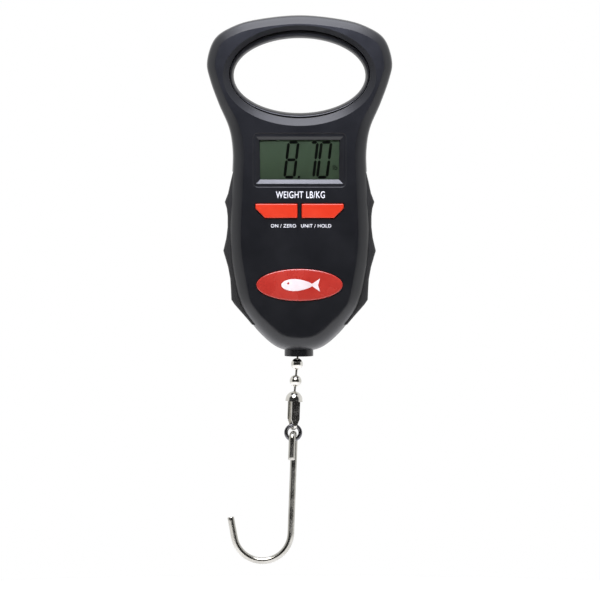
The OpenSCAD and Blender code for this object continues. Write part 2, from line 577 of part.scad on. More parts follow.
// sprung contact coil that narrows away from its plate, one ring of points every 24 degrees
coil_wire = 0.4;
coil_step = 24;
module coil(h) {
    m = 3 * 360 / coil_step;
    loft([for (i = [0:m]) let (a = i * coil_step, r = mix(3.6, 2.2, i / m), z = coil_wire + (h - 2 * coil_wire) * smooth(i / m))
        [for (k = [0:5]) let (b = -60 * k, q = r + coil_wire * cos(b)) [q * cos(a), q * sin(a), z + coil_wire * sin(b)]]]);
}
module contact_plate(x0, x1, z) box([x0, 3.4, z], [x1, 11.2, z + 0.4]);
module contact_tab(x) box([x - 0.7, -0.4, -47.1], [x + 0.7, 3.5, -46.7]);
module contact_plus_left() color(col_steel) {
    contact_plate(-9.6, -1.6, -47.1);
    contact_tab(-8.3);
}
module contact_minus_right() color(col_steel) {
    contact_plate(1.6, 9.6, -47.1);
    contact_tab(8.3);
    translate([cell_x, cell_y, -46.95]) mirror([0, 0, 1]) coil(4.2);
}
module contact_bridge() color(col_steel) {
    contact_plate(-9.6, 9.6, -96.1);
    translate([-cell_x, cell_y, -95.85]) coil(4.2);
}
// round wire through hand-placed points; the wire never runs along X
function wire_ring(p, d, r) = let (u = [1, 0, 0], v = cross(d / norm(d), u), w = v / norm(v))
    [for (k = [0:5]) p + r * (cos(60 * k) * u + sin(60 * k) * w)];
module wire(p, r) loft([for (i = [0:len(p) - 1])
    wire_ring(p[i], p[min(i + 1, len(p) - 1)] - p[max(i - 1, 0)], r)]);
lead_r = 0.35;
battery_route = [[0, 0.1, -47.1], [0, 0.1, -48.4], [0, -0.3, -49.8], [0, -0.9, -50.8], [0, -1.5, -51.2], [0, -2, -51.2]];
gauge_route = [[0, -1.4, -102.85], [0, -1.4, -101.6], [0, -1.2, -99.5], [0, -1, -97], [0, -0.9, -94.5], [0, -1.1, -92.4], [0, -1.6, -91.6], [0, -2, -91.6]];
module battery_leads() {
    color("#b02a2a") translate([-8.3, 0, 0]) wire(battery_route, lead_r);
    color("#17181a") translate([8.3, 0, 0]) wire(battery_route, lead_r);
}
module load_cell_leads() for (x = [-5.3, -3.9, 3.9, 5.3]) color("#d8d8d8") translate([x, 0, 0]) wire(gauge_route, lead_r);

front_shell();
rear_shell();
left_grip();
right_grip();
display_lens();
lens_adhesive();
lcd_panel();
lcd_holder();
zebra_strips();
main_board();
controller_chip();
board_components();
switch_bodies();
power_button();
power_plunger();
units_button();
units_plunger();
badge();
board_screws();
case_screws();
load_cell();
backing_plate();
load_cell_screws();
strain_gauges();
loading_arm();
arm_screws();
hanger();
outlet_bush();
chain_link_0();
chain_bead_0();
chain_link_1();
chain_bead_1();
chain_link_2();
chain_bead_2();
chain_link_3();
coupling_bell();
coupling_strap();
split_ring();
hook();
battery_door();
cell_left();
cell_right();
contact_plus_left();
contact_minus_right();
contact_bridge();
battery_leads();
load_cell_leads();
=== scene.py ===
"""Looks of a digital fish scale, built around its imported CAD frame."""
import json
import logging
import math
from dataclasses import dataclass, field
from enum import Enum
from typing import Any, Callable, Iterable, Optional, Sequence

import bpy
from mathutils import Matrix, Vector

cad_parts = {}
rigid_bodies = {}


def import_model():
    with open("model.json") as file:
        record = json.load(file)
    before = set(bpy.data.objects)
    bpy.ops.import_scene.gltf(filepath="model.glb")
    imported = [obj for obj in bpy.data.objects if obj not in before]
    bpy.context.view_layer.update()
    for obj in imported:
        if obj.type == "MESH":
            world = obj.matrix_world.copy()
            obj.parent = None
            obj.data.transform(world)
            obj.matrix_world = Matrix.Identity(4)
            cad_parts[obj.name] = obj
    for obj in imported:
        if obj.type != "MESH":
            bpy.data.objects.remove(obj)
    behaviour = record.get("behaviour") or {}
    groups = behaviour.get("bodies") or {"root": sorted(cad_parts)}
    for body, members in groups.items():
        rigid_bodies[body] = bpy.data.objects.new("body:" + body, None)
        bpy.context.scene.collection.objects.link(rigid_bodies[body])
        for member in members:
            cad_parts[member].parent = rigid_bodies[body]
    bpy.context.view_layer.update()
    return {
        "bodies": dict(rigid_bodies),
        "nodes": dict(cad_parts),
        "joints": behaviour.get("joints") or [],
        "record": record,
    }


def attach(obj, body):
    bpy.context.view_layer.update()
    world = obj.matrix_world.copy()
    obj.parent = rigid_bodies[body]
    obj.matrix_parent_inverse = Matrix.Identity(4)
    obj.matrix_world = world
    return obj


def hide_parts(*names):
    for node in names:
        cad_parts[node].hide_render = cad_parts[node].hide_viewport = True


LOG = logging.getLogger("fish_scale")
MM = 0.001
Point2 = tuple[float, float]
Point3 = tuple[float, float, float]
Ring = list[Point3]


# ---------------------------------------------------------------- materials

def linear(colour: str) -> tuple[float, float, float, float]:
    """Turn an sRGB hex colour into linear RGBA.

    Args:
        colour: six hex digits with a leading #.

    Returns:
        Linear red, green, blue and an alpha of one.
    """
    parts = [int(colour[i:i + 2], 16) / 255 for i in (1, 3, 5)]
    return tuple(c / 12.92 if c <= 0.04045 else ((c + 0.055) / 1.055) ** 2.4 for c in parts) + (1.0,)


def add_node(tree: bpy.types.NodeTree, kind: str, settings: Optional[dict[str, Any]] = None,
             links: Optional[dict[Any, bpy.types.NodeSocket]] = None) -> bpy.types.Node:
    """Add one node with its settings and links.

    Args:
        tree: the material's node tree.
        kind: the node's Blender type name.
        settings: attribute names or input names, with their values.
        links: input names or indexes, with the sockets that feed them.

    Returns:
        The new node.
    """
    node = tree.nodes.new(kind)
    for key, value in (settings or {}).items():
        if isinstance(key, int) or key in node.inputs:
            node.inputs[key].default_value = value
        else:
            setattr(node, key, value)
    for key, socket in (links or {}).items():
        tree.links.new(socket, node.inputs[key])
    return node


def ramp(tree: bpy.types.NodeTree, source: bpy.types.NodeSocket,
         stops: Sequence[tuple[float, Any]]) -> bpy.types.NodeSocket:
    """Add a colour ramp fed by a socket.

    Args:
        tree: the material's node tree.
        source: what drives the ramp.
        stops: positions with a grey value or a hex colour each.

    Returns:
        The ramp's colour output.
    """
    node = add_node(tree, "ShaderNodeValToRGB", links={"Fac": source})
    elements = node.color_ramp.elements
    while len(elements) < len(stops):
        elements.new(0.5)
    for element, (position, value) in zip(elements, stops):
        element.position = position
        element.color = linear(value) if isinstance(value, str) else (value, value, value, 1)
    return node.outputs["Color"]


class Surface(Enum):
    """How a surface was made, which sets its fine relief."""

    MOULDED = "moulded"
    GRAINED = "grained"
    PLATED = "plated"
    DRAWN = "drawn"
    PRINTED = "printed"
    CLEAR = "clear"


@dataclass(frozen=True)
class Finish:
    """One procedural finish.

    Attributes are the material's name, the way its surface was made, its two colours, its roughness range,
    metal share, index of refraction, the size of its relief in millimetres and the relief's height in millimetres.
    """

    name: str
    surface: Surface
    colour: str
    second: str
    rough: tuple[float, float] = (0.35, 0.45)
    metallic: float = 0.0
    ior: float = 1.5
    relief_mm: float = 0.4
    height_mm: float = 0.01
    patch_mm: float = 14.0
    coat: float = 0.0
    alpha: float = 1.0
    sheen: float = 0.0

    def build(self) -> bpy.types.Material:
        """Build the material.

        Returns:
            The new material, with its nodes in place.
        """
        material = bpy.data.materials.new(self.name)
        material.use_nodes = True
        tree = material.node_tree
        tree.nodes.clear()
        where = add_node(tree, "ShaderNodeTexCoord").outputs["Object"]
        stretch = (1.0, 1.0, 0.06) if self.surface is Surface.DRAWN else (1.0, 1.0, 1.0)
        where = add_node(tree, "ShaderNodeMapping", {"Scale": stretch}, {"Vector": where}).outputs["Vector"]
        patches = add_node(tree, "ShaderNodeTexNoise", {"Scale": 1000 / self.patch_mm, "Detail": 4.0,
                                                        "Roughness": 0.6},
                           {"Vector": where}).outputs["Fac"]
        relief = self._relief(tree, where)
        colour = ramp(tree, patches, [(0.35, self.colour), (0.68, self.second)])
        rough = add_node(tree, "ShaderNodeMapRange", {"From Min": 0.3, "From Max": 0.7, "To Min": self.rough[0],
                                                      "To Max": self.rough[1]}, {"Value": patches}).outputs["Result"]
        bump = add_node(tree, "ShaderNodeBump", {"Strength": 1.0, "Distance": self.height_mm * MM},
                        {"Height": relief})
        if self.surface is Surface.CLEAR:
            return self._thin_window(tree, material, bump)
        shader = add_node(tree, "ShaderNodeBsdfPrincipled",
                          {"Metallic": self.metallic, "IOR": self.ior, "Coat Weight": self.coat,
                           "Coat Roughness": 0.08,
                           "Sheen Weight": self.sheen, "Sheen Roughness": 0.5, "Alpha": self.alpha},
                          {"Base Color": colour, "Roughness": rough, "Normal": bump.outputs["Normal"]})
        add_node(tree, "ShaderNodeOutputMaterial", links={"Surface": shader.outputs["BSDF"]})
        return material

    def _thin_window(self, tree: bpy.types.NodeTree, material: bpy.types.Material,
                     bump: bpy.types.Node) -> bpy.types.Material:
        """Finish a clear sheet's material: it lets light straight through and mirrors a little."""
        fresnel = add_node(tree, "ShaderNodeFresnel", {"IOR": self.ior}, {"Normal": bump.outputs["Normal"]})
        through = add_node(tree, "ShaderNodeBsdfTransparent", {"Color": linear(self.colour)})
        mirror = add_node(tree, "ShaderNodeBsdfAnisotropic", {"Color": linear(self.second),
                                                              "Roughness": self.rough[0]},
                          {"Normal": bump.outputs["Normal"]})
        mix = add_node(tree, "ShaderNodeMixShader", links={0: fresnel.outputs["Fac"], 1: through.outputs["BSDF"],
                                                           2: mirror.outputs["BSDF"]})
        add_node(tree, "ShaderNodeOutputMaterial", links={"Surface": mix.outputs["Shader"]})
        return material

    def _relief(self, tree: bpy.types.NodeTree, where: bpy.types.NodeSocket) -> bpy.types.NodeSocket:
        """Build the fine relief that suits how the surface was made."""
        scale = 1000 / self.relief_mm
        if self.surface is Surface.GRAINED:
            pits = add_node(tree, "ShaderNodeTexVoronoi", {"Scale": scale}, {"Vector": where}).outputs["Distance"]
            fine = add_node(tree, "ShaderNodeTexNoise", {"Scale": scale * 1.7, "Detail": 2.0},
                            {"Vector": where}).outputs["Fac"]
            return add_node(tree, "ShaderNodeMath", {"operation": "ADD"}, {0: pits, 1: fine}).outputs["Value"]
        if self.surface is Surface.DRAWN:
            return add_node(tree, "ShaderNodeTexNoise", {"Scale": scale, "Detail": 3.0},
                            {"Vector": where}).outputs["Fac"]
        return add_node(tree, "ShaderNodeTexNoise", {"Scale": scale, "Detail": 3.0, "Roughness": 0.55},
                        {"Vector": where}).outputs["Fac"]


# Injection-moulded ABS with a fine spark-eroded texture: near black with a cold cast and soft highlights.
CASE_FRONT = Finish("abs_satin_black", Surface.MOULDED, "#0e0f13", "#121317", (0.3, 0.36), relief_mm=0.35,
                    height_mm=0.005)
# The rear half comes from another batch of ABS, a touch warmer.
CASE_REAR = Finish("abs_satin_charcoal", Surface.MOULDED, "#111113", "#151517", (0.34, 0.42), relief_mm=0.35,
                   height_mm=0.006)
# Overmoulded thermoplastic rubber with a sandy grain, which spreads the light and looks greyer.
GRIP = Finish("tpe_grained_grey", Surface.GRAINED, "#111112", "#181819", (0.68, 0.8), relief_mm=0.5, height_mm=0.05)
# Pigmented ABS keys, even in colour with a satin face.
KEY = Finish("abs_satin_orange_red", Surface.MOULDED, "#c72e14", "#ce371c", (0.3, 0.38), relief_mm=0.3,
             height_mm=0.004)
# Doming over a printed plate: a clear glossy coat on brick red.
BADGE = Finish("domed_badge_red", Surface.PRINTED, "#a62a22", "#b1352b", (0.22, 0.3), coat=0.4, relief_mm=1.5,
               height_mm=0.002)
PRINT_WHITE = Finish("screen_print_white", Surface.PRINTED, "#e2e4e8", "#f2f3f5", (0.45, 0.6), relief_mm=0.2,
                     height_mm=0.004)
BADGE_SILVER = Finish("printed_silver", Surface.PRINTED, "#d9c9c9", "#eadfdf", (0.3, 0.42), relief_mm=0.3,
                      height_mm=0.002)
# Twisted-nematic display glass over a grey-green reflector.
LCD = Finish("lcd_reflector_green", Surface.PRINTED, "#75876f", "#80917a", (0.38, 0.5), ior=1.2, relief_mm=0.25,
             height_mm=0.002, patch_mm=30)
LCD_SEGMENT = Finish("lcd_segment_dark", Surface.PRINTED, "#0b0f0b", "#10140f", (0.5, 0.6), ior=1.08, relief_mm=0.3,
                     height_mm=0.001)
WINDOW = Finish("acrylic_window", Surface.CLEAR, "#f4f7f4", "#f8faf8", (0.03, 0.05), ior=1.49, relief_mm=6,
                height_mm=0.001)
# Bright nickel plate on brass: mirror-like, with faint handling marks.
NICKEL = Finish("nickel_plate", Surface.PLATED, "#c4c2bb", "#d4d2cc", (0.1, 0.2), 1.0, relief_mm=1.2,
                height_mm=0.004, patch_mm=3)
# The split ring's steel colour is darker than the nickel parts: painted shade standing in for the dark reflections on
# the ring.
RING_STEEL_PAINTED_SHADE = Finish("spring_steel_painted_shade", Surface.PLATED, "#5c5c5f", "#767679", (0.18, 0.3), 1.0, relief_mm=0.8,
                    height_mm=0.004, patch_mm=3)
# Drawn and polished stainless wire, with fine lines along its length.
HOOK_STEEL = Finish("stainless_wire", Surface.PLATED, "#a5a39c", "#bbb9b2", (0.14, 0.24), 1.0, relief_mm=1.4,
                    height_mm=0.003, patch_mm=5)
ZINC = Finish("zinc_plated_screw", Surface.PLATED, "#a9adb0", "#c3c6c8", (0.25, 0.38), 1.0, relief_mm=0.5,
              height_mm=0.01, patch_mm=2)
BEAM = Finish("milled_aluminium", Surface.DRAWN, "#c2c4c6", "#d2d4d6", (0.28, 0.4), 1.0, relief_mm=0.6,
              height_mm=0.01, patch_mm=6)
SOLDER_MASK = Finish("solder_mask_green", Surface.PRINTED, "#145226", "#1b6530", (0.25, 0.35), relief_mm=0.8,
                     height_mm=0.01, patch_mm=8)
EPOXY = Finish("black_epoxy", Surface.MOULDED, "#101012", "#1a1a1c", (0.4, 0.55), relief_mm=0.3, height_mm=0.01)
CERAMIC = Finish("ceramic_tan", Surface.MOULDED, "#9a7d52", "#b39768", (0.45, 0.6), relief_mm=0.3, height_mm=0.01)
NATURAL_PLASTIC = Finish("polycarbonate_white", Surface.MOULDED, "#d8d6cf", "#e4e2db", (0.4, 0.5), relief_mm=0.4,
                         height_mm=0.006)
FOAM = Finish("foam_tape_black", Surface.GRAINED, "#0d0d0e", "#151516", (0.8, 0.9), relief_mm=0.2, height_mm=0.02)
FOIL = Finish("gauge_foil", Surface.PRINTED, "#b5893a", "#c99d4a", (0.3, 0.45), 0.6, relief_mm=0.2, height_mm=0.004)
JACKET = Finish("shrink_sleeve_gold", Surface.PRINTED, "#a9802c", "#bd9337", (0.22, 0.32), 0.3, coat=0.4,
                relief_mm=1.0, height_mm=0.004)
PVC_LEAD = Finish("pvc_lead_red", Surface.MOULDED, "#8e1f1d", "#a32a26", (0.4, 0.5), relief_mm=0.3, height_mm=0.005)
STUDIO_WHITE = Finish("matt_studio_paper", Surface.MOULDED, "#fbfbfb", "#ffffff", (0.9, 0.95), relief_mm=3,
                      height_mm=0.02, patch_mm=400)


class Dresser:
    """Builds each finish once and puts it on pieces."""

    def __init__(self) -> None:
        """Start with no material built."""
        self.made: dict[str, bpy.types.Material] = {}

    def material(self, finish: Finish) -> bpy.types.Material:
        """Give the material of a finish, built at its first use."""
        if finish.name not in self.made:
            self.made[finish.name] = finish.build()
        return self.made[finish.name]

    def dress(self, piece: bpy.types.Object, finish: Finish) -> None:
        """Put a finish on every slot of a piece.

        Args:
            piece: a new piece or a CAD node.
            finish: what it gets.
        """
        material = self.material(finish)
        if not piece.material_slots:
            piece.data.materials.append(material)
        for each in piece.material_slots:
            each.material = material


# ---------------------------------------------------------------- mesh tools

def alone(piece: bpy.types.Object) -> None:
    """Select one piece only and make it active."""
    bpy.ops.object.select_all(action="DESELECT")
    piece.select_set(True)
    bpy.context.view_layer.objects.active = piece


def loft(name: str, rings: Sequence[Ring], closed: bool = True, capped: bool = True) -> bpy.types.Object:
    """Make a skin through rings of points by bending a grid primitive.

    Args:
        name: the piece's name.
        rings: rings with the same number of points, in millimetres.
        closed: whether the last point of a ring joins its first.
        capped: whether the first and last ring get a face.

    Returns:
        The piece, in metres, its seam merged and its faces pointing outwards.
    """
    bpy.ops.object.select_all(action="DESELECT")
    across, count = len(rings[0]), len(rings)
    width = across + 1 if closed else across
    bpy.ops.mesh.primitive_grid_add(x_subdivisions=width - 1, y_subdivisions=count - 1, size=1)
    piece = bpy.context.object
    piece.name = piece.data.name = name
    places = [value * MM for ring in rings for j in range(width) for value in ring[j % across]]
    piece.data.vertices.foreach_set("co", places)
    bpy.ops.object.mode_set(mode="EDIT")
    bpy.ops.mesh.select_all(action="SELECT")
    bpy.ops.mesh.remove_doubles(threshold=1e-7)
    if capped:
        bpy.ops.mesh.select_all(action="DESELECT")
        bpy.ops.mesh.select_mode(type="EDGE")
        bpy.ops.mesh.select_non_manifold()
        bpy.ops.mesh.fill_holes(sides=0)
    bpy.ops.mesh.select_all(action="SELECT")
    bpy.ops.mesh.normals_make_consistent(inside=False)
    bpy.ops.object.mode_set(mode="OBJECT")
    return piece


def apply_modifier(piece: bpy.types.Object, kind: str, **settings: Any) -> None:
    """Add a modifier to a piece and apply it.

    Args:
        piece: the piece to change.
        kind: the modifier's Blender type name.
        settings: the modifier's attributes.
    """
    alone(piece)
    modifier = piece.modifiers.new(kind.lower(), kind)
    for key, value in settings.items():
        setattr(modifier, key, value)
    bpy.ops.object.modifier_apply(modifier=modifier.name)


def cut(piece: bpy.types.Object, *cutters: bpy.types.Object, add: bool = False) -> None:
    """Cut pieces out of a piece, or join them to it, and delete them.

    Args:
        piece: the piece that stays.
        cutters: closed meshes.
        add: join instead of cutting.
    """
    for cutter in cutters:
        apply_modifier(piece, "BOOLEAN", operation="UNION" if add else "DIFFERENCE", object=cutter, solver="EXACT")
        bpy.data.objects.remove(cutter, do_unlink=True)


def smooth(piece: bpy.types.Object, angle: float = 28.0) -> bpy.types.Object:
    """Shade a piece smooth up to an angle, with its large faces leading.

    Args:
        piece: the piece to shade.
        angle: edges sharper than this many degrees stay crisp.

    Returns:
        The same piece.
    """
    alone(piece)
    bpy.ops.object.shade_smooth_by_angle(angle=math.radians(angle))
    apply_modifier(piece, "WEIGHTED_NORMAL", keep_sharp=True, weight=80)
    return piece


def box(name: str, low: Point3, high: Point3) -> bpy.types.Object:
    """Make a box between two corners in millimetres."""
    bpy.ops.object.select_all(action="DESELECT")
    bpy.ops.mesh.primitive_cube_add(size=1)
    piece = bpy.context.object
    piece.name = piece.data.name = name
    for vertex in piece.data.vertices:
        vertex.co = [(low[i] if vertex.co[i] < 0 else high[i]) * MM for i in range(3)]
    return piece


def disc_rings(centre: Point3, axis: str, stations: Sequence[tuple[float, float]], count: int = 64) -> list[Ring]:
    """Give round rings along an axis.

    Args:
        centre: a point on the axis, in millimetres.
        axis: X, Y or Z.
        stations: distance along the axis and radius of each ring.
        count: points a ring.

    Returns:
        The rings, for loft.
    """
    rings = []
    for along, radius in stations:
        ring = []
        for k in range(count):
            a = 2 * math.pi * k / count
            u, v = radius * math.cos(a), radius * math.sin(a)
            spot = {"X": (along, u, v), "Y": (u, along, v), "Z": (u, v, along)}[axis]
            ring.append(tuple(c + s for c, s in zip(centre, spot)))
        rings.append(ring)
    return rings


def oval_ring(half: Point2, centre_z: float, depth: Callable[[float], float], count: int = 180) -> Ring:
    """Give one oval ring in the hand opening's shape.

    Args:
        half: half width and half height.
        centre_z: height of the oval's centre.
        depth: gives Y for a height.
        count: points in the ring.

    Returns:
        The ring's points.
    """
    ring = []
    for k in range(count):
        a = 2 * math.pi * k / count
        z = centre_z + half[1] * math.cos(a)
        ring.append((half[0] * math.sin(a), depth(z), z))
    return ring


def rounded_outline(half: Point2, radius: float, steps: int = 6) -> list[Point2]:
    """Give a rectangle's outline with round corners, centred on zero."""
    points = []
    for sx, sy, start in ((1, 1, 0), (-1, 1, 90), (-1, -1, 180), (1, -1, 270)):
        for k in range(steps + 1):
            a = math.radians(start + 90 * k / steps)
            points.append((sx * (half[0] - radius) + radius * math.cos(a),
                           sy * (half[1] - radius) + radius * math.sin(a)))
    return points


def inset_outline(points: Sequence[Point2], distance: float) -> list[Point2]:
    """Move a convex anticlockwise outline inwards by a distance (outwards if negative)."""
    moved = []
    for k, (x, y) in enumerate(points):
        ax, ay = points[k - 1]
        bx, by = points[(k + 1) % len(points)]
        u, v = Vector((x - ax, y - ay)), Vector((bx - x, by - y))
        u = u.normalized() if u.length > 1e-9 else v.normalized()
        v = v.normalized() if v.length > 1e-9 else u
        n = Vector((-u.y - v.y, u.x + v.x))
        n.normalize()
        moved.append((x + n.x * distance / max(0.5, n.dot(Vector((-u.y, u.x)))),
                      y + n.y * distance / max(0.5, n.dot(Vector((-u.y, u.x))))))
    return moved


# ---------------------------------------------------------------- the case

def smoothstep(value: float) -> float:
    """Ease a value between zero and one."""
    t = min(1.0, max(0.0, value))
    return t * t * (3 - 2 * t)


@dataclass
class CaseForm:
    """The shape that both case halves and the grips share, in millimetres."""

    outline: tuple[Point2, ...] = (
        (0, 10.6), (20.5, 8.5), (32.1, 4.8), (39.4, -0.7), (42.7, -10.8), (41.3, -19.1), (37.3, -30.2), (32.6, -41.3),
        (30.9, -52), (31.2, -64), (32, -79), (32.3, -90), (31.9, -100), (30.2, -111), (28.2, -120), (24.8, -127.5),
        (18.4, -136), (9.9, -142.8), (0, -144.6))
    steps: int = 11
    front_depth: float = 9.0
    front_slope: float = 0.028
    rear_depth: float = 14.0
    lip: Point2 = (35.3, 23.1)
    edge: Point2 = (32.5, 20.3)
    rim: Point2 = (30.4, 17.25)
    edge_z: float = -16.5
    rim_z: float = -17.25
    mouth_back: float = -2.8
    lip_reach: float = 2.8
    lip_run: float = 2.6
    lip_drop: float = 0.6
    samples: list[tuple[Vector, Vector]] = field(default_factory=list)

    def __post_init__(self) -> None:
        """Sample the right half of the outline as points with inward directions."""
        p = [Vector(q) for q in self.outline]
        p = [Vector((-p[1].x, p[1].y)), *p, Vector((-p[-2].x, p[-2].y))]
        for i in range(1, len(p) - 2):
            a, b, c, d = p[i - 1:i + 3]
            for k in range(self.steps + (i == len(p) - 3)):
                t = k / self.steps
                spot = 0.5 * (2 * b + (c - a) * t + (2 * a - 5 * b + 4 * c - d) * t ** 2 +
                              (3 * b - a - 3 * c + d) * t ** 3)
                way = (c - a) + 2 * (2 * a - 5 * b + 4 * c - d) * t + 3 * (3 * b - a - 3 * c + d) * t ** 2
                way.normalize()
                self.samples.append((spot, Vector((way.y, -way.x))))

    def front_y(self, z: float) -> float:
        """Depth of the sloping front face at a height."""
        return -self.front_depth + self.front_slope * z

    @staticmethod
    def bevel(z: float) -> float:
        """Width of the bevel at a height."""
        return 3.9 + 1.6 * smoothstep((-25 - z) / 25) + 2.4 * smoothstep((-122 - z) / 16)

    @staticmethod
    def wall(z: float) -> float:
        """Wall thickness at a height."""
        return 1.8 + 1.2 * smoothstep((-35 - z) / 20)

    def edge_x(self, z: float) -> float:
        """Half width of the outline at a height."""
        for (a, _), (b, _) in zip(self.samples, self.samples[1:]):
            if b.y <= z <= a.y:
                return a.x + (b.x - a.x) * (a.y - z) / max(1e-9, a.y - b.y)
        return 0.0

    def ring(self, bevels: float, rounds: float, walls: float, depth: Callable[[float], float]) -> Ring:
        """Give the outline moved inwards.

        Args:
            bevels: share of the bevel's width where the bevel is a chamfer.
            rounds: share of it at the bottom, where it's a rounding.
            walls: share of the wall.
            depth: gives Y for a height.

        Returns:
            The closed ring's points.
        """
        right = []
        for spot, way in self.samples:
            bottom = smoothstep((-117 - spot.y) / 16)
            d = (bevels + (rounds - bevels) * bottom) * self.bevel(spot.y) + walls * self.wall(spot.y)
            q = spot + way * d
            right.append((max(q.x, 0.0), q.y))
        every = right + [(-x, z) for x, z in reversed(right[1:-1])]
        return [(x, depth(z), z) for x, z in every]

    def skin(self, name: str, side: int, walls: float = 0.0, thick: float = 0.0,
             start: float = 0.0) -> bpy.types.Object:
        """Make a half's closed form from the parting plane to its face.

        Args:
            name: the piece's name.
            side: -1 for the front, 1 for the rear.
            walls: share of the wall to stay inside.
            thick: distance to stay behind the face.
            start: Y where the form starts.

        Returns:
            The closed form.
        """
        profile = ((0.0, 0.0), (0.15, 0.01), (0.35, 0.03), (0.5, 0.06), (0.58, 0.1), (0.66, 0.18), (0.74, 0.32),
                   (0.82, 0.5),
                   (0.9, 0.7), (0.95, 0.84), (0.975, 0.92), (0.99, 0.96), (1.0, 1.0))
        rings = []
        for share, bevels in profile:
            if side < 0:
                def depth(z: float, s: float = share) -> float:
                    return start + s * (self.front_y(z) + thick - start)
            else:
                def depth(z: float, s: float = share) -> float:
                    return start + s * (self.rear_depth - thick - start)
            rounds = 1 - math.sqrt(1 - share * share)
            less = 0.85 if walls else 1.0
            rings.append(self.ring(bevels * less, rounds * less, walls, depth))
        return loft(name, rings)

    def front_mouth(self, wall: float = 0.0) -> bpy.types.Object:
        """Make the front half's part of the hand opening as a cutter."""
        a, b = self.edge[0] + wall, self.edge[1] + wall
        rings = [oval_ring((a, b), self.edge_z, lambda z: 1.0), oval_ring((a, b), self.edge_z,
                                                                          lambda z: self.mouth_back)]
        steps, over = 10, 0.5
        for k in range(steps + 1):
            back = self.lip_run * (1 - k / steps) - over * (k == steps)
            spread = self.lip_reach * (1 - back / self.lip_run) if back > 0 else self.lip_reach + over
            rings.append(oval_ring((self.edge[0] + spread + wall, self.edge[1] + spread + wall),
                                   self.edge_z - self.lip_drop * spread / self.lip_reach,
                                   lambda z, behind=back: self.front_y(z) + behind))
        return loft("front_mouth", rings)

    def rear_mouth(self, wall: float = 0.0) -> bpy.types.Object:
        """Make the rear half's part of the hand opening as a cutter."""
        rings = []
        start, run, flare = -2.45, 5.4, 1.7
        front = [(-4.0, 2.1), *((start + run * (1 - t), flare * (1 - math.sqrt(1 - t * t)))
                                for t in (1.0, 0.97, 0.92, 0.85, 0.7, 0.5, 0.25, 0.0))]
        for y, spread in (*front, (4, 0), (6.5, 0.25), (8.5, 0.75), (10.5, 1.5), (12, 2.3), (13.2, 3.2), (14.6, 4.6)):
            rings.append(oval_ring((self.rim[0] + spread + wall, self.rim[1] + spread + wall), self.rim_z,
                                   lambda z, y=y: y))
        return loft("rear_mouth", rings)

    def on_front(self, points: Iterable[Point2], centre_z: float, height: float) -> Ring:
        """Place an outline on the front face, some way out of it."""
        return [(x, self.front_y(centre_z + z) - height, centre_z + z) for x, z in points]


@dataclass
class GripForm:
    """The side grips' outer edge with its three finger peaks, in millimetres."""

    edge: tuple[Point2, ...] = (
        (30.7, -61.4), (31.8, -66), (33, -71.5), (34.5, -75.4), (33.6, -78.4), (33.2, -82), (33.2, -87), (33.8, -92),
        (35.2, -98), (34.3, -101), (33, -105.5), (32, -111), (31.7, -116), (31.5, -120.6), (30, -122.8), (27.2, -126),
        (24.2, -129.4), (22, -132))
    depth: float = 1.3
    front: float = -6.2
    back: float = 8.5

    def points(self) -> list[Point2]:
        """Give the edge with three more points in each span."""
        fine = []
        for a, b in zip(self.edge, self.edge[1:]):
            for k in range(4):
                fine.append((a[0] + (b[0] - a[0]) * k / 4, a[1] + (b[1] - a[1]) * k / 4))
        return fine + [self.edge[-1]]

    def recess(self, form: CaseForm, side: int, low: float, high: float) -> bpy.types.Object:
        """Make the cutter for a grip's seat in the case."""
        points = self.points()
        outline = [(form.edge_x(z) - self.depth, z) for _, z in points] + [(60, points[-1][1]), (60, points[0][1])]
        return loft("grip_seat", [[(side * x, y, z) for x, z in outline] for y in (low, high)])

    def build(self, form: CaseForm, side: int) -> bpy.types.Object:
        """Make one grip.

        Args:
            form: the case's shape.
            side: -1 for the left, 1 for the right.

        Returns:
            The grip, before its finish.
        """
        points = self.points()
        rings = []
        stations = 22
        for k in range(stations + 1):
            t = k / stations
            y = self.front + (self.back - self.front) * t
            near = min((y - self.front) / 3.6, (self.back - y) / 4.6, 1.0)
            share = math.sqrt(max(0.0, 1 - (1 - near) ** 2))
            inset = 0.6 * (1 - near)
            outer = []
            for x, z in points:
                base = form.edge_x(z)
                outer.append((side * max(base - inset + (x - base + inset) * share, base - self.depth + 0.15), y, z))
            inner = [(side * (form.edge_x(z) - self.depth + 0.03), y, z) for _, z in reversed(points)]
            rings.append(outer + inner)
        return loft("grip_left" if side < 0 else "grip_right", rings)


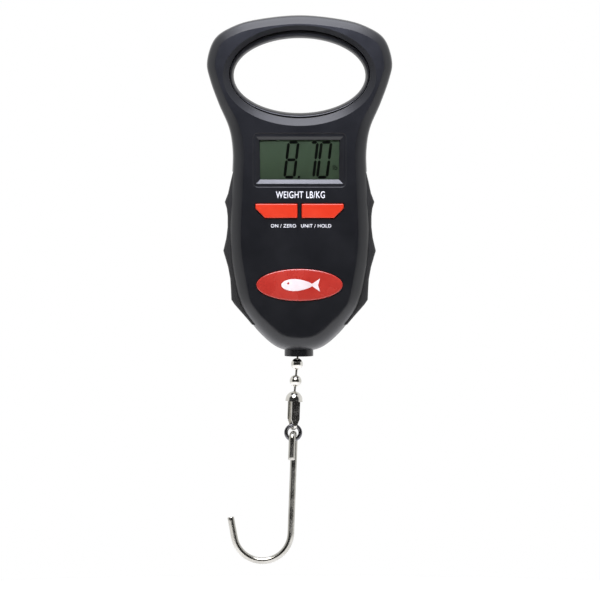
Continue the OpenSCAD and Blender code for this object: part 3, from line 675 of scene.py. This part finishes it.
@dataclass
class Case:
    """Both case halves and the grips."""

    form: CaseForm
    grips: GripForm
    view_z: float = -55.95
    key_z: float = -79.25
    badge_z: float = -113.3
    key_half: Point2 = (9.65, 3.25)
    key_x: float = 10.65
    key_cut: float = 4.4
    key_corner: float = 0.55
    recess_half: Point2 = (21.2, 12.25)
    window_half: Point2 = (20.0, 10.75)
    lens_half: Point2 = (20.3, 11.05)
    badge_half: Point2 = (20.0, 7.5)
    screws: tuple[Point2, ...] = ((37.6, -14), (24.4, -70), (16.5, -127.5))

    def key_outline(self, side: int, grow: float) -> list[Point2]:
        """Give a key's outline around its own centre, grown by a distance."""
        a, b, c, r = *self.key_half, self.key_cut, self.key_corner
        points = [(a, b), (-a, b), (-a, -b + c), (-a + c, -b), (a, -b)]
        fine = []
        for k, here in enumerate(points):
            before, after = Vector(points[k - 1]), Vector(points[(k + 1) % 5])
            here = Vector(here)
            p, q = here + (before - here).normalized() * r, here + (after - here).normalized() * r
            for t in (0, 0.25, 0.5, 0.75, 1):
                fine.append(tuple((1 - t) ** 2 * p + 2 * t * (1 - t) * here + t * t * q))
        fine = inset_outline(fine, -grow)
        if side > 0:
            fine = [(-x, z) for x, z in reversed(fine)]
        return [(x + side * self.key_x, z) for x, z in fine]

    def pocket(self, outline: Callable[[float], list[Point2]], centre_z: float,
               stations: Sequence[tuple[float, float]]) -> bpy.types.Object:
        """Make a cutter that goes into the front face.

        Args:
            outline: gives the outline grown by a distance.
            centre_z: height of the outline's centre.
            stations: height out of the face and growth for each ring.

        Returns:
            The cutter.
        """
        return loft("pocket", [self.form.on_front(outline(grow), centre_z, h) for h, grow in stations])

    def front(self) -> bpy.types.Object:
        """Build the front half."""
        form = self.form
        shell = form.skin("case_front", -1)
        cavity = form.skin("cavity", -1, walls=1.0, thick=2.0, start=0.4)
        cut(cavity, form.front_mouth(1.6), box("bush_block", (-9, -14, -150), (9, 2, -133.9)))
        cut(shell, cavity, form.front_mouth())
        for side in (-1, 1):
            cut(shell, self.grips.recess(form, side, self.grips.front, 1.0))
        cut(shell, self.pocket(lambda g: rounded_outline((self.recess_half[0] + g, self.recess_half[1] + g),
                                                         2.0 + g), self.view_z,
                               ((1.0, 1.3), (-0.3, 0.0), (-0.45, 0.0))))
        cut(shell, self.pocket(lambda g: rounded_outline((self.window_half[0] + g, self.window_half[1] + g), 0.4,
                                                         3), self.view_z,
                               ((1.0, 0.15), (-0.42, 0.15), (-0.57, 0.0), (-1.66, -1.8), (-4.5, -1.8))))
        x, z = self.lens_half
        cut(shell, box("lens_seat", (-x, -8.9, self.view_z - z), (x, -4, self.view_z + z)))
        for side in (-1, 1):
            cut(shell, self.pocket(lambda g, s=side: self.key_outline(s, g), self.key_z,
                                   ((1.0, 1.45), (-0.25, 0.2), (-4.5, 0.2))))
        cut(shell, loft("badge_seat", [self.badge_ring(self.badge_half[0] + g, self.badge_half[1] + g, h) for h, g in
                                       ((1.0, 1.2), (-0.2, 0.0), (-0.5, 0.0))]))
        cut(shell, *self.bush_cutters())
        return smooth(shell)

    def badge_ring(self, a: float, b: float, height: float, count: int = 120) -> Ring:
        """Give an oval ring on the front face around the badge's centre."""
        points = [(a * math.cos(2 * math.pi * k / count), b * math.sin(2 * math.pi * k / count))
                  for k in range(count)]
        return self.form.on_front(points, self.badge_z, height)

    @staticmethod
    def bush_cutters() -> list[bpy.types.Object]:
        """Make the cutters for the outlet bush's seat."""
        steps = ((-150, 6.72), (-142.85, 6.72), (-142.8, 5.7), (-140.6, 5.7), (-140.55, 7.25), (-138.4, 7.25),
                 (-138.35, 5.0), (-131, 5.0))
        return [loft("bush_seat", disc_rings((-0.3, 0, 0), "Z", steps, 72))]

    def rear(self) -> bpy.types.Object:
        """Build the rear half."""
        form = self.form
        shell = form.skin("case_rear", 1)
        cavity = form.skin("cavity", 1, walls=1.0, thick=2.0, start=-0.4)
        cut(cavity, form.rear_mouth(1.8), box("bush_block", (-9, -2, -150), (9, 16, -133.9)),
            box("battery_block", (-13.4, 0.6, -101.5), (13.4, 16, -43)))
        for x, z in self.screws:
            for side in (-1, 1):
                cut(cavity, loft("boss", disc_rings((side * x, 0, z), "Y", ((-2, 3.8), (16, 3.8)), 40)))
        cut(shell, cavity)
        lip = loft("inner_lip", [oval_ring(half, form.edge_z, lambda z, y=y: y)
                                 for half, y in (((32.3, 20.1), 0.6), ((32.3, 20.1), -2.1), ((32.0, 19.8), -2.4))])
        cut(shell, lip, add=True)
        cut(shell, form.rear_mouth())
        for side in (-1, 1):
            cut(shell, self.grips.recess(form, side, -1.0, self.grips.back))
        counterbore = ((-2, 1.3), (6.39, 1.3), (6.4, 2.7), (13.7, 2.7), (15, 4.0))
        for x, z in self.screws:
            for side in (-1, 1):
                cut(shell, loft("counterbore", disc_rings((side * x, 0, z), "Y", counterbore, 48)))
        cut(shell, box("cells", (-11.4, 1.9, -96.2), (11.4, 16, -46.6)),
            box("door_seat", (-13.5, 12.6, -97.9), (13.5, 16, -46)),
            box("hinge_seat", (-11.4, 11.1, -48), (11.4, 16, -44.2)))
        notch = rounded_outline((4.5, 2.2), 1.6)
        notch_z, flare = -98.4, ((12.6, 0.6), (13.2, 0.85), (14.0, 1.0), (15, 1.1))
        cut(shell, loft("thumb_notch", [[(x * g, y, notch_z + z * g) for x, z in notch] for y, g in flare]))
        cut(shell, *self.bush_cutters())
        return smooth(shell)


# ---------------------------------------------------------------- small pieces

@dataclass
class Keys:
    """The two keys."""

    case: Case
    proud: float = 0.8

    def build(self, side: int) -> bpy.types.Object:
        """Build one key: a flange behind the face and a cap with rolled edges."""
        stations = [(-3.1, 0.7), (-2.25, 0.7), (-2.2, 0.0), (self.proud - 0.45, 0.0), (self.proud - 0.22, -0.06),
                    (self.proud - 0.08, -0.18), (self.proud, -0.42)]
        rings = [self.case.form.on_front(self.case.key_outline(side, g), self.case.key_z, h) for h, g in stations]
        return smooth(loft("key_power" if side < 0 else "key_units", rings), 40)


@dataclass
class Badge:
    """The oval plate with a plain fish sign."""

    case: Case

    def plate(self) -> bpy.types.Object:
        """Build the plate with its low dome."""
        stations = ((-0.5, 0.0), (0.25, 0.0), (0.42, 0.08), (0.55, 0.25), (0.62, 0.55))
        rings = [self.case.badge_ring(19.85 - g, 7.35 - g, h) for h, g in stations]
        for k in range(1, 8):
            shrink = 1 - k / 8
            rings.append(self.case.badge_ring(19.3 * shrink, 6.8 * shrink, 0.62 + 0.38 * (1 - shrink ** 2)))
        return smooth(loft("badge_plate", rings), 40)

    def fish(self) -> list[bpy.types.Object]:
        """Build the fish sign's body, tail and eye as thin raised shapes."""
        body, tail, eye = [], [], []
        for k in range(48):
            a = 2 * math.pi * k / 48
            x = math.cos(a)
            body.append((-1.2 + 7.2 * x, 2.7 * math.sin(a) * (1 - 0.25 * x) * (1 - 0.12 * x * x)))
        for x, z in ((5.0, 0.0), (9.4, 3.0), (8.5, 0.0), (9.4, -3.0)):
            tail.append((x, z))
        for k in range(20):
            a = 2 * math.pi * k / 20
            eye.append((-5.2 + 0.5 * math.cos(a), 0.75 + 0.5 * math.sin(a)))
        return [self._raised("sign_body", body, 1.06), self._raised("sign_tail", tail, 1.05),
                self._raised("sign_eye", eye, 1.1)]

    def _raised(self, name: str, outline: Sequence[Point2], top: float) -> bpy.types.Object:
        """Build one raised shape of the sign, following the dome."""
        def height(x: float, z: float) -> float:
            r = math.hypot(x / 19.3, z / 6.8)
            return top - 0.38 * r * r
        cx = sum(p[0] for p in outline) / len(outline)
        cz = sum(p[1] for p in outline) / len(outline)
        rings = []
        for drop, g in ((0.25, 1.0), (0.03, 1.0), (0.0, 0.97), (0.0, 0.6), (0.0, 0.25)):
            ring = []
            for x, z in outline:
                px, pz = cx + (x - cx) * g, cz + (z - cz) * g
                ring.append((px, self.case.form.front_y(self.case.badge_z + pz) - height(px, pz) + drop,
                             self.case.badge_z + pz))
            rings.append(ring)
        return smooth(loft(name, rings), 40)


@dataclass
class Readout:
    """The display's dark segments and the printed words."""

    view_z: float = -55.95
    panel_y: float = -7.56
    slant: float = 0.12

    SEGMENTS = {"0": "abcdef", "7": "abc", "8": "abcdefg"}

    def segment(self, letter: str, left: float, bottom: float, width: float, height: float,
                thick: float) -> list[Point2]:
        """Give one segment's six-sided outline."""
        half = height / 2
        spots = {"a": ((0, height), (width, height)), "b": ((width, height), (width, half)),
                 "c": ((width, half), (width, 0)),
                 "d": ((0, 0), (width, 0)), "e": ((0, half), (0, 0)), "f": ((0, height), (0, half)),
                 "g": ((0, half), (width, half))}
        a, b = (Vector(p) for p in spots[letter])
        way = (b - a).normalized()
        side = Vector((-way.y, way.x)) * thick / 2
        a, b = a + way * 0.16, b - way * 0.16
        corners = [a, a + way * thick / 2 + side, b - way * thick / 2 + side, b, b - way * thick / 2 - side,
                   a + way * thick / 2 - side]
        return [(left + p.x + self.slant * p.y, bottom + p.y) for p in corners]

    def digits(self) -> bpy.types.Object:
        """Build the reading as thin dark segments on the display's glass."""
        low = self.view_z - 7.9
        shapes = []
        for sign, left in (("8", -6.9), ("7", 3.4), ("0", 8.2)):
            for letter in self.SEGMENTS[sign]:
                shapes.append(self.segment(letter, left, low, 4.4 if sign != "7" else 3.0, 16.0, 1.25))
        shapes.append([(-0.9, low - 0.5), (0.2, low - 0.5), (0.3, low + 0.6), (-0.8, low + 0.6)])
        made = []
        for outline in shapes:
            made.append(loft("segment", [[(x, y, z) for x, z in outline]
                                         for y in (self.panel_y, self.panel_y - 0.05)]))
        return join("lcd_digits", made)

    def words(self, name: str, text: str, place: Point3, height: float, slope: float,
              width: float = 1.0) -> bpy.types.Object:
        """Build a short printed word as a thin mesh.

        Args:
            name: the piece's name.
            text: a generic word or sign.
            place: the middle of the word, in millimetres.
            height: the letters' height.
            slope: angle of the surface from upright, in radians.
            width: stretch of the letters across.

        Returns:
            The word.
        """
        bpy.ops.object.select_all(action="DESELECT")
        bpy.ops.object.text_add()
        piece = bpy.context.object
        piece.data.body = text
        piece.data.align_x = "CENTER"
        piece.data.align_y = "CENTER"
        piece.data.size = height * MM / 0.7
        piece.data.extrude = 0.02 * MM
        piece.data.offset = 0.006 * height * MM
        piece.data.space_character = 1.08
        bpy.ops.object.convert(target="MESH")
        piece = bpy.context.object
        piece.name = piece.data.name = name
        turn = Matrix.Rotation(math.pi / 2 - slope, 4, "X")
        piece.data.transform(Matrix.Translation(Vector(place) * MM) @ turn @ Matrix.Diagonal((width, 1, 1, 1)))
        return piece


def join(name: str, parts: Sequence[bpy.types.Object]) -> bpy.types.Object:
    """Join pieces into one.

    Args:
        name: the joined piece's name.
        parts: the pieces.

    Returns:
        The joined piece.
    """
    bpy.ops.object.select_all(action="DESELECT")
    for part in parts:
        part.select_set(True)
    bpy.context.view_layer.objects.active = parts[0]
    bpy.ops.object.join()
    whole = bpy.context.object
    whole.name = whole.data.name = name
    return whole


@dataclass
class HookWire:
    """The hook as one bent wire, in millimetres."""

    wire: float = 1.55
    ring_x: float = -2.95
    eye_z: float = -185.85
    eye: float = 2.95
    turn: float = -10.0
    lean: float = 2.1
    leg: float = 9.0
    bend: float = 13.2
    bend_z: float = -229.4
    bend_turn: float = 169.2
    tip: float = 9.3

    def path(self) -> list[Vector]:
        """Give the wire's middle line from its cut end to its tip."""
        turn = Matrix.Rotation(math.radians(self.turn), 3, "Z")
        points = [turn @ Vector((0, -self.eye, -self.leg + self.leg * k / 6)) for k in range(6)]
        points += [turn @ Vector((0, -self.eye * math.cos(math.pi * k / 20), self.eye * math.sin(math.pi * k / 20)))
                   for k in range(20)]
        top = turn @ Vector((0, self.eye, 0))
        length = (self.eye_z - self.bend_z) / math.cos(math.radians(self.lean))
        points += [top + Vector((0, 0, -length * k / 24)) for k in range(24)]
        centre = top + Vector((-self.bend, 0, -length))
        for k in range(49):
            a = -math.radians(self.bend_turn) * k / 48
            points.append(centre + Vector((self.bend * math.cos(a), 0, self.bend * math.sin(a))))
        way = (points[-1] - points[-2]).normalized()
        points += [points[-1] + way * self.tip * k / 6 for k in range(1, 7)]
        lean = Matrix.Rotation(math.radians(self.lean), 3, "Y")
        return [lean @ p + Vector((self.ring_x, 0, self.eye_z)) for p in points]

    def build(self) -> bpy.types.Object:
        """Build the wire as one smooth skin with small chamfers at both ends."""
        path = self.path()
        rings = []
        normal = Vector((1, 0, 0))
        last = len(path) - 1
        for k, spot in enumerate(path):
            way = (path[min(k + 1, last)] - path[max(k - 1, 0)]).normalized()
            normal = (normal - way * normal.dot(way)).normalized()
            other = way.cross(normal)
            def ring(at: Vector, radius: float) -> Ring:
                return [tuple(at + radius * (math.cos(2 * math.pi * j / 32) * normal +
                                             math.sin(2 * math.pi * j / 32) * other)) for j in range(32)]
            if k == 0:
                rings += [ring(spot, self.wire - 0.3), ring(spot + way * 0.08, self.wire - 0.12),
                          ring(spot + way * 0.25, self.wire)]
            elif k == last:
                rings += [ring(spot - way * 0.25, self.wire), ring(spot - way * 0.08, self.wire - 0.12),
                          ring(spot, self.wire - 0.3)]
            else:
                rings.append(ring(spot, self.wire))
        return smooth(loft("hook_wire", rings), 50)


# ---------------------------------------------------------------- stage

@dataclass
class Studio:
    """A white light tent with a dark side behind the camera, a pale floor, two soft lights and the camera."""

    target: Point3 = (0.0002, -0.005, -0.1206)
    distance: float = 2.6
    elevation: float = 3.0
    frame_width: float = 0.2768
    floor_z: float = -0.3
    floor_radius: float = 0.5
    sensor: float = 36.0
    dim_from: float = -0.5
    dim_to: float = -0.14
    dim_level: float = 0.03

    def build(self, dresser: Dresser) -> None:
        """Place everything around the object."""
        self._tent()
        bpy.ops.object.select_all(action="DESELECT")
        bpy.ops.mesh.primitive_circle_add(vertices=96, radius=self.floor_radius, fill_type="NGON")
        floor = bpy.context.object
        floor.name = floor.data.name = "paper_floor"
        floor.data.transform(Matrix.Translation((0, 0, self.floor_z)))
        dresser.dress(floor, STUDIO_WHITE)
        self._light("overhead_softbox", (0.0, -0.02, 0.62), (0, 0, 0), 0.6, 4.0, "#f3f4ff")
        self._light("front_softbox", (-0.06, -0.5, 0.5), (0, 0, -0.1), 0.5, 7.0, "#fffdfa")
        self._light("handle_light", (0.0, -0.125, 0.085), (0, -0.01, -0.01), 0.1, 13.0, "#dde2ff")
        self._camera()

    def _tent(self) -> None:
        """Make the tent: white all round, dim towards the camera's side, and always white to the camera itself."""
        world = bpy.data.worlds.new("light_tent")
        bpy.context.scene.world = world
        world.use_nodes = True
        tree = world.node_tree
        tree.nodes.clear()
        way = add_node(tree, "ShaderNodeTexCoord").outputs["Generated"]
        side = add_node(tree, "ShaderNodeSeparateXYZ", links={0: way}).outputs["Y"]
        dimming = {"From Min": self.dim_from, "From Max": self.dim_to, "To Min": self.dim_level, "To Max": 1.0,
                   "interpolation_type": "SMOOTHSTEP"}
        front = add_node(tree, "ShaderNodeMapRange", dimming, {"Value": side}).outputs["Result"]
        seen = add_node(tree, "ShaderNodeLightPath").outputs["Is Camera Ray"]
        level = add_node(tree, "ShaderNodeMath", {"operation": "MAXIMUM"}, {0: front, 1: seen}).outputs["Value"]
        shell = add_node(tree, "ShaderNodeBackground", {"Color": linear("#ffffff")}, {"Strength": level})
        add_node(tree, "ShaderNodeOutputWorld", links={"Surface": shell.outputs["Background"]})

    def _camera(self) -> None:
        """Set the camera up in front of the object, a little above it."""
        camera = bpy.data.cameras.new("camera")
        seat = bpy.data.objects.new("camera", camera)
        bpy.context.collection.objects.link(seat)
        e = math.radians(self.elevation)
        back = Vector((0, -math.cos(e), math.sin(e)))
        seat.location = Vector(self.target) + back * self.distance
        seat.rotation_mode = "QUATERNION"
        seat.rotation_quaternion = (-back).to_track_quat("-Z", "Y")
        camera.sensor_width = self.sensor
        camera.lens = self.sensor * self.distance / self.frame_width
        camera.clip_end = 60
        bpy.context.scene.camera = seat
        bpy.context.scene.view_settings.view_transform = "Standard"

    @staticmethod
    def _light(name: str, place: Point3, aim: Point3, size: float, radiance: float, colour: str) -> None:
        """Add one square soft light.

        Args:
            name: the light's name.
            place: where it hangs, in metres.
            aim: the point it faces.
            size: its side.
            radiance: its brightness, where white paper in full light is 1.
            colour: its tint.
        """
        lamp = bpy.data.lights.new(name, "AREA")
        lamp.shape = "SQUARE"
        lamp.size = size
        lamp.energy = radiance * math.pi * size * size
        lamp.color = linear(colour)[:3]
        seat = bpy.data.objects.new(name, lamp)
        bpy.context.collection.objects.link(seat)
        seat.location = place
        seat.rotation_mode = "QUATERNION"
        seat.rotation_quaternion = (Vector(aim) - Vector(place)).to_track_quat("-Z", "Y")
        seat.visible_camera = False


# ---------------------------------------------------------------- assembly

@dataclass(frozen=True)
class Placement:
    """What a new piece rides on, stands for and takes its finish from."""

    body: str
    slot: str
    finish: Finish
    nodes: tuple[str, ...] = ()


NODE_FINISHES: dict[str, Finish] = {
    "outlet_bush": CASE_FRONT, "battery_door": CASE_REAR, "display_lens": WINDOW, "lens_adhesive": FOAM,
                                    "lcd_panel": LCD,
    "lcd_holder": NATURAL_PLASTIC, "zebra_strips": FOAM, "main_board": SOLDER_MASK, "controller_chip": EPOXY,
    "board_components": CERAMIC, "switch_bodies": EPOXY, "power_plunger": KEY, "units_plunger": KEY,
                                    "board_screws": ZINC,
    "case_screws": ZINC, "load_cell": BEAM, "backing_plate": ZINC, "load_cell_screws": ZINC, "strain_gauges": FOIL,
    "loading_arm": ZINC, "arm_screws": ZINC, "hanger": NICKEL, "coupling_bell": NICKEL, "coupling_strap": NICKEL,
    "split_ring": RING_STEEL_PAINTED_SHADE, "cell_left": JACKET, "cell_right": JACKET, "contact_plus_left": ZINC,
    "contact_minus_right": ZINC, "contact_bridge": ZINC, "battery_leads": PVC_LEAD, "load_cell_leads": PVC_LEAD,
    **{f"chain_link_{i}": NICKEL for i in range(4)}, **{f"chain_bead_{i}": NICKEL for i in range(3)},
}


class FishScale:
    """Builds every visible piece and ties it to the CAD frame."""

    def __init__(self, frame: dict[str, Any]) -> None:
        """Keep the frame and set up the shared shapes."""
        self.frame = frame
        self.dresser = Dresser()
        self.form = CaseForm()
        self.case = Case(self.form, GripForm())

    def place(self, piece: bpy.types.Object, how: Placement) -> None:
        """Dress a piece and tie it to its body."""
        self.dresser.dress(piece, how.finish)
        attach(piece, how.body)
        if how.nodes:
            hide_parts(*how.nodes)
        LOG.info("%s: %d faces", piece.name, len(piece.data.polygons))

    def build(self) -> None:
        """Build the pieces in order."""
        for name, finish in NODE_FINISHES.items():
            self.dresser.dress(self.frame["nodes"][name], finish)
        self.place(self.case.front(), Placement("case", "case_front", CASE_FRONT, ("front_shell",)))
        self.place(self.case.rear(), Placement("case", "case_rear", CASE_REAR, ("rear_shell",)))
        for side, node in ((-1, "left_grip"), (1, "right_grip")):
            self.place(smooth(self.case.grips.build(self.form, side), 32),
                       Placement("case", "grip_rubber", GRIP, (node,)))
        keys = Keys(self.case)
        self.place(keys.build(-1), Placement("power_key", "key_red", KEY, ("power_button",)))
        self.place(keys.build(1), Placement("units_key", "key_red", KEY, ("units_button",)))
        badge = Badge(self.case)
        self.place(badge.plate(), Placement("case", "badge_red", BADGE, ("badge",)))
        body, tail, eye = badge.fish()
        for piece in (body, tail):
            self.place(piece, Placement("case", "badge_red", BADGE_SILVER))
        self.place(eye, Placement("case", "badge_red", BADGE))
        self._print()
        self.place(HookWire().build(), Placement("fish_hook", "hook_steel", HOOK_STEEL, ("hook",)))

    def _print(self) -> None:
        """Add the reading and the printed words."""
        readout = Readout()
        self.place(readout.digits(), Placement("case", "display_panel", LCD_SEGMENT))
        slope = math.atan(self.form.front_slope)
        prints = (("print_units", "WEIGHT LB/KG", 0.5, -72.0, 3.1, 0.7),
                  ("print_left", "ON / ZERO", -7.4, -86.2, 1.55, 1.0),
                  ("print_right", "UNIT / HOLD", 7.6, -86.2, 1.55, 1.0))
        for name, text, x, z, height, width in prints:
            place = (x, self.form.front_y(z) - 0.005, z)
            self.place(readout.words(name, text, place, height, slope, width),
                       Placement("case", "case_front", PRINT_WHITE))
        self.place(readout.words("lcd_unit", "lb", (16.3, readout.panel_y - 0.02, -59.5), 2.2, 0.0),
                   Placement("case", "display_panel", LCD_SEGMENT))


def main() -> None:
    """Load the frame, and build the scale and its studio."""
    logging.basicConfig(level=logging.INFO, format="%(message)s")
    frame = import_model()
    FishScale(frame).build()
    Studio().build(Dresser())


if __name__ == "__main__":
    main()
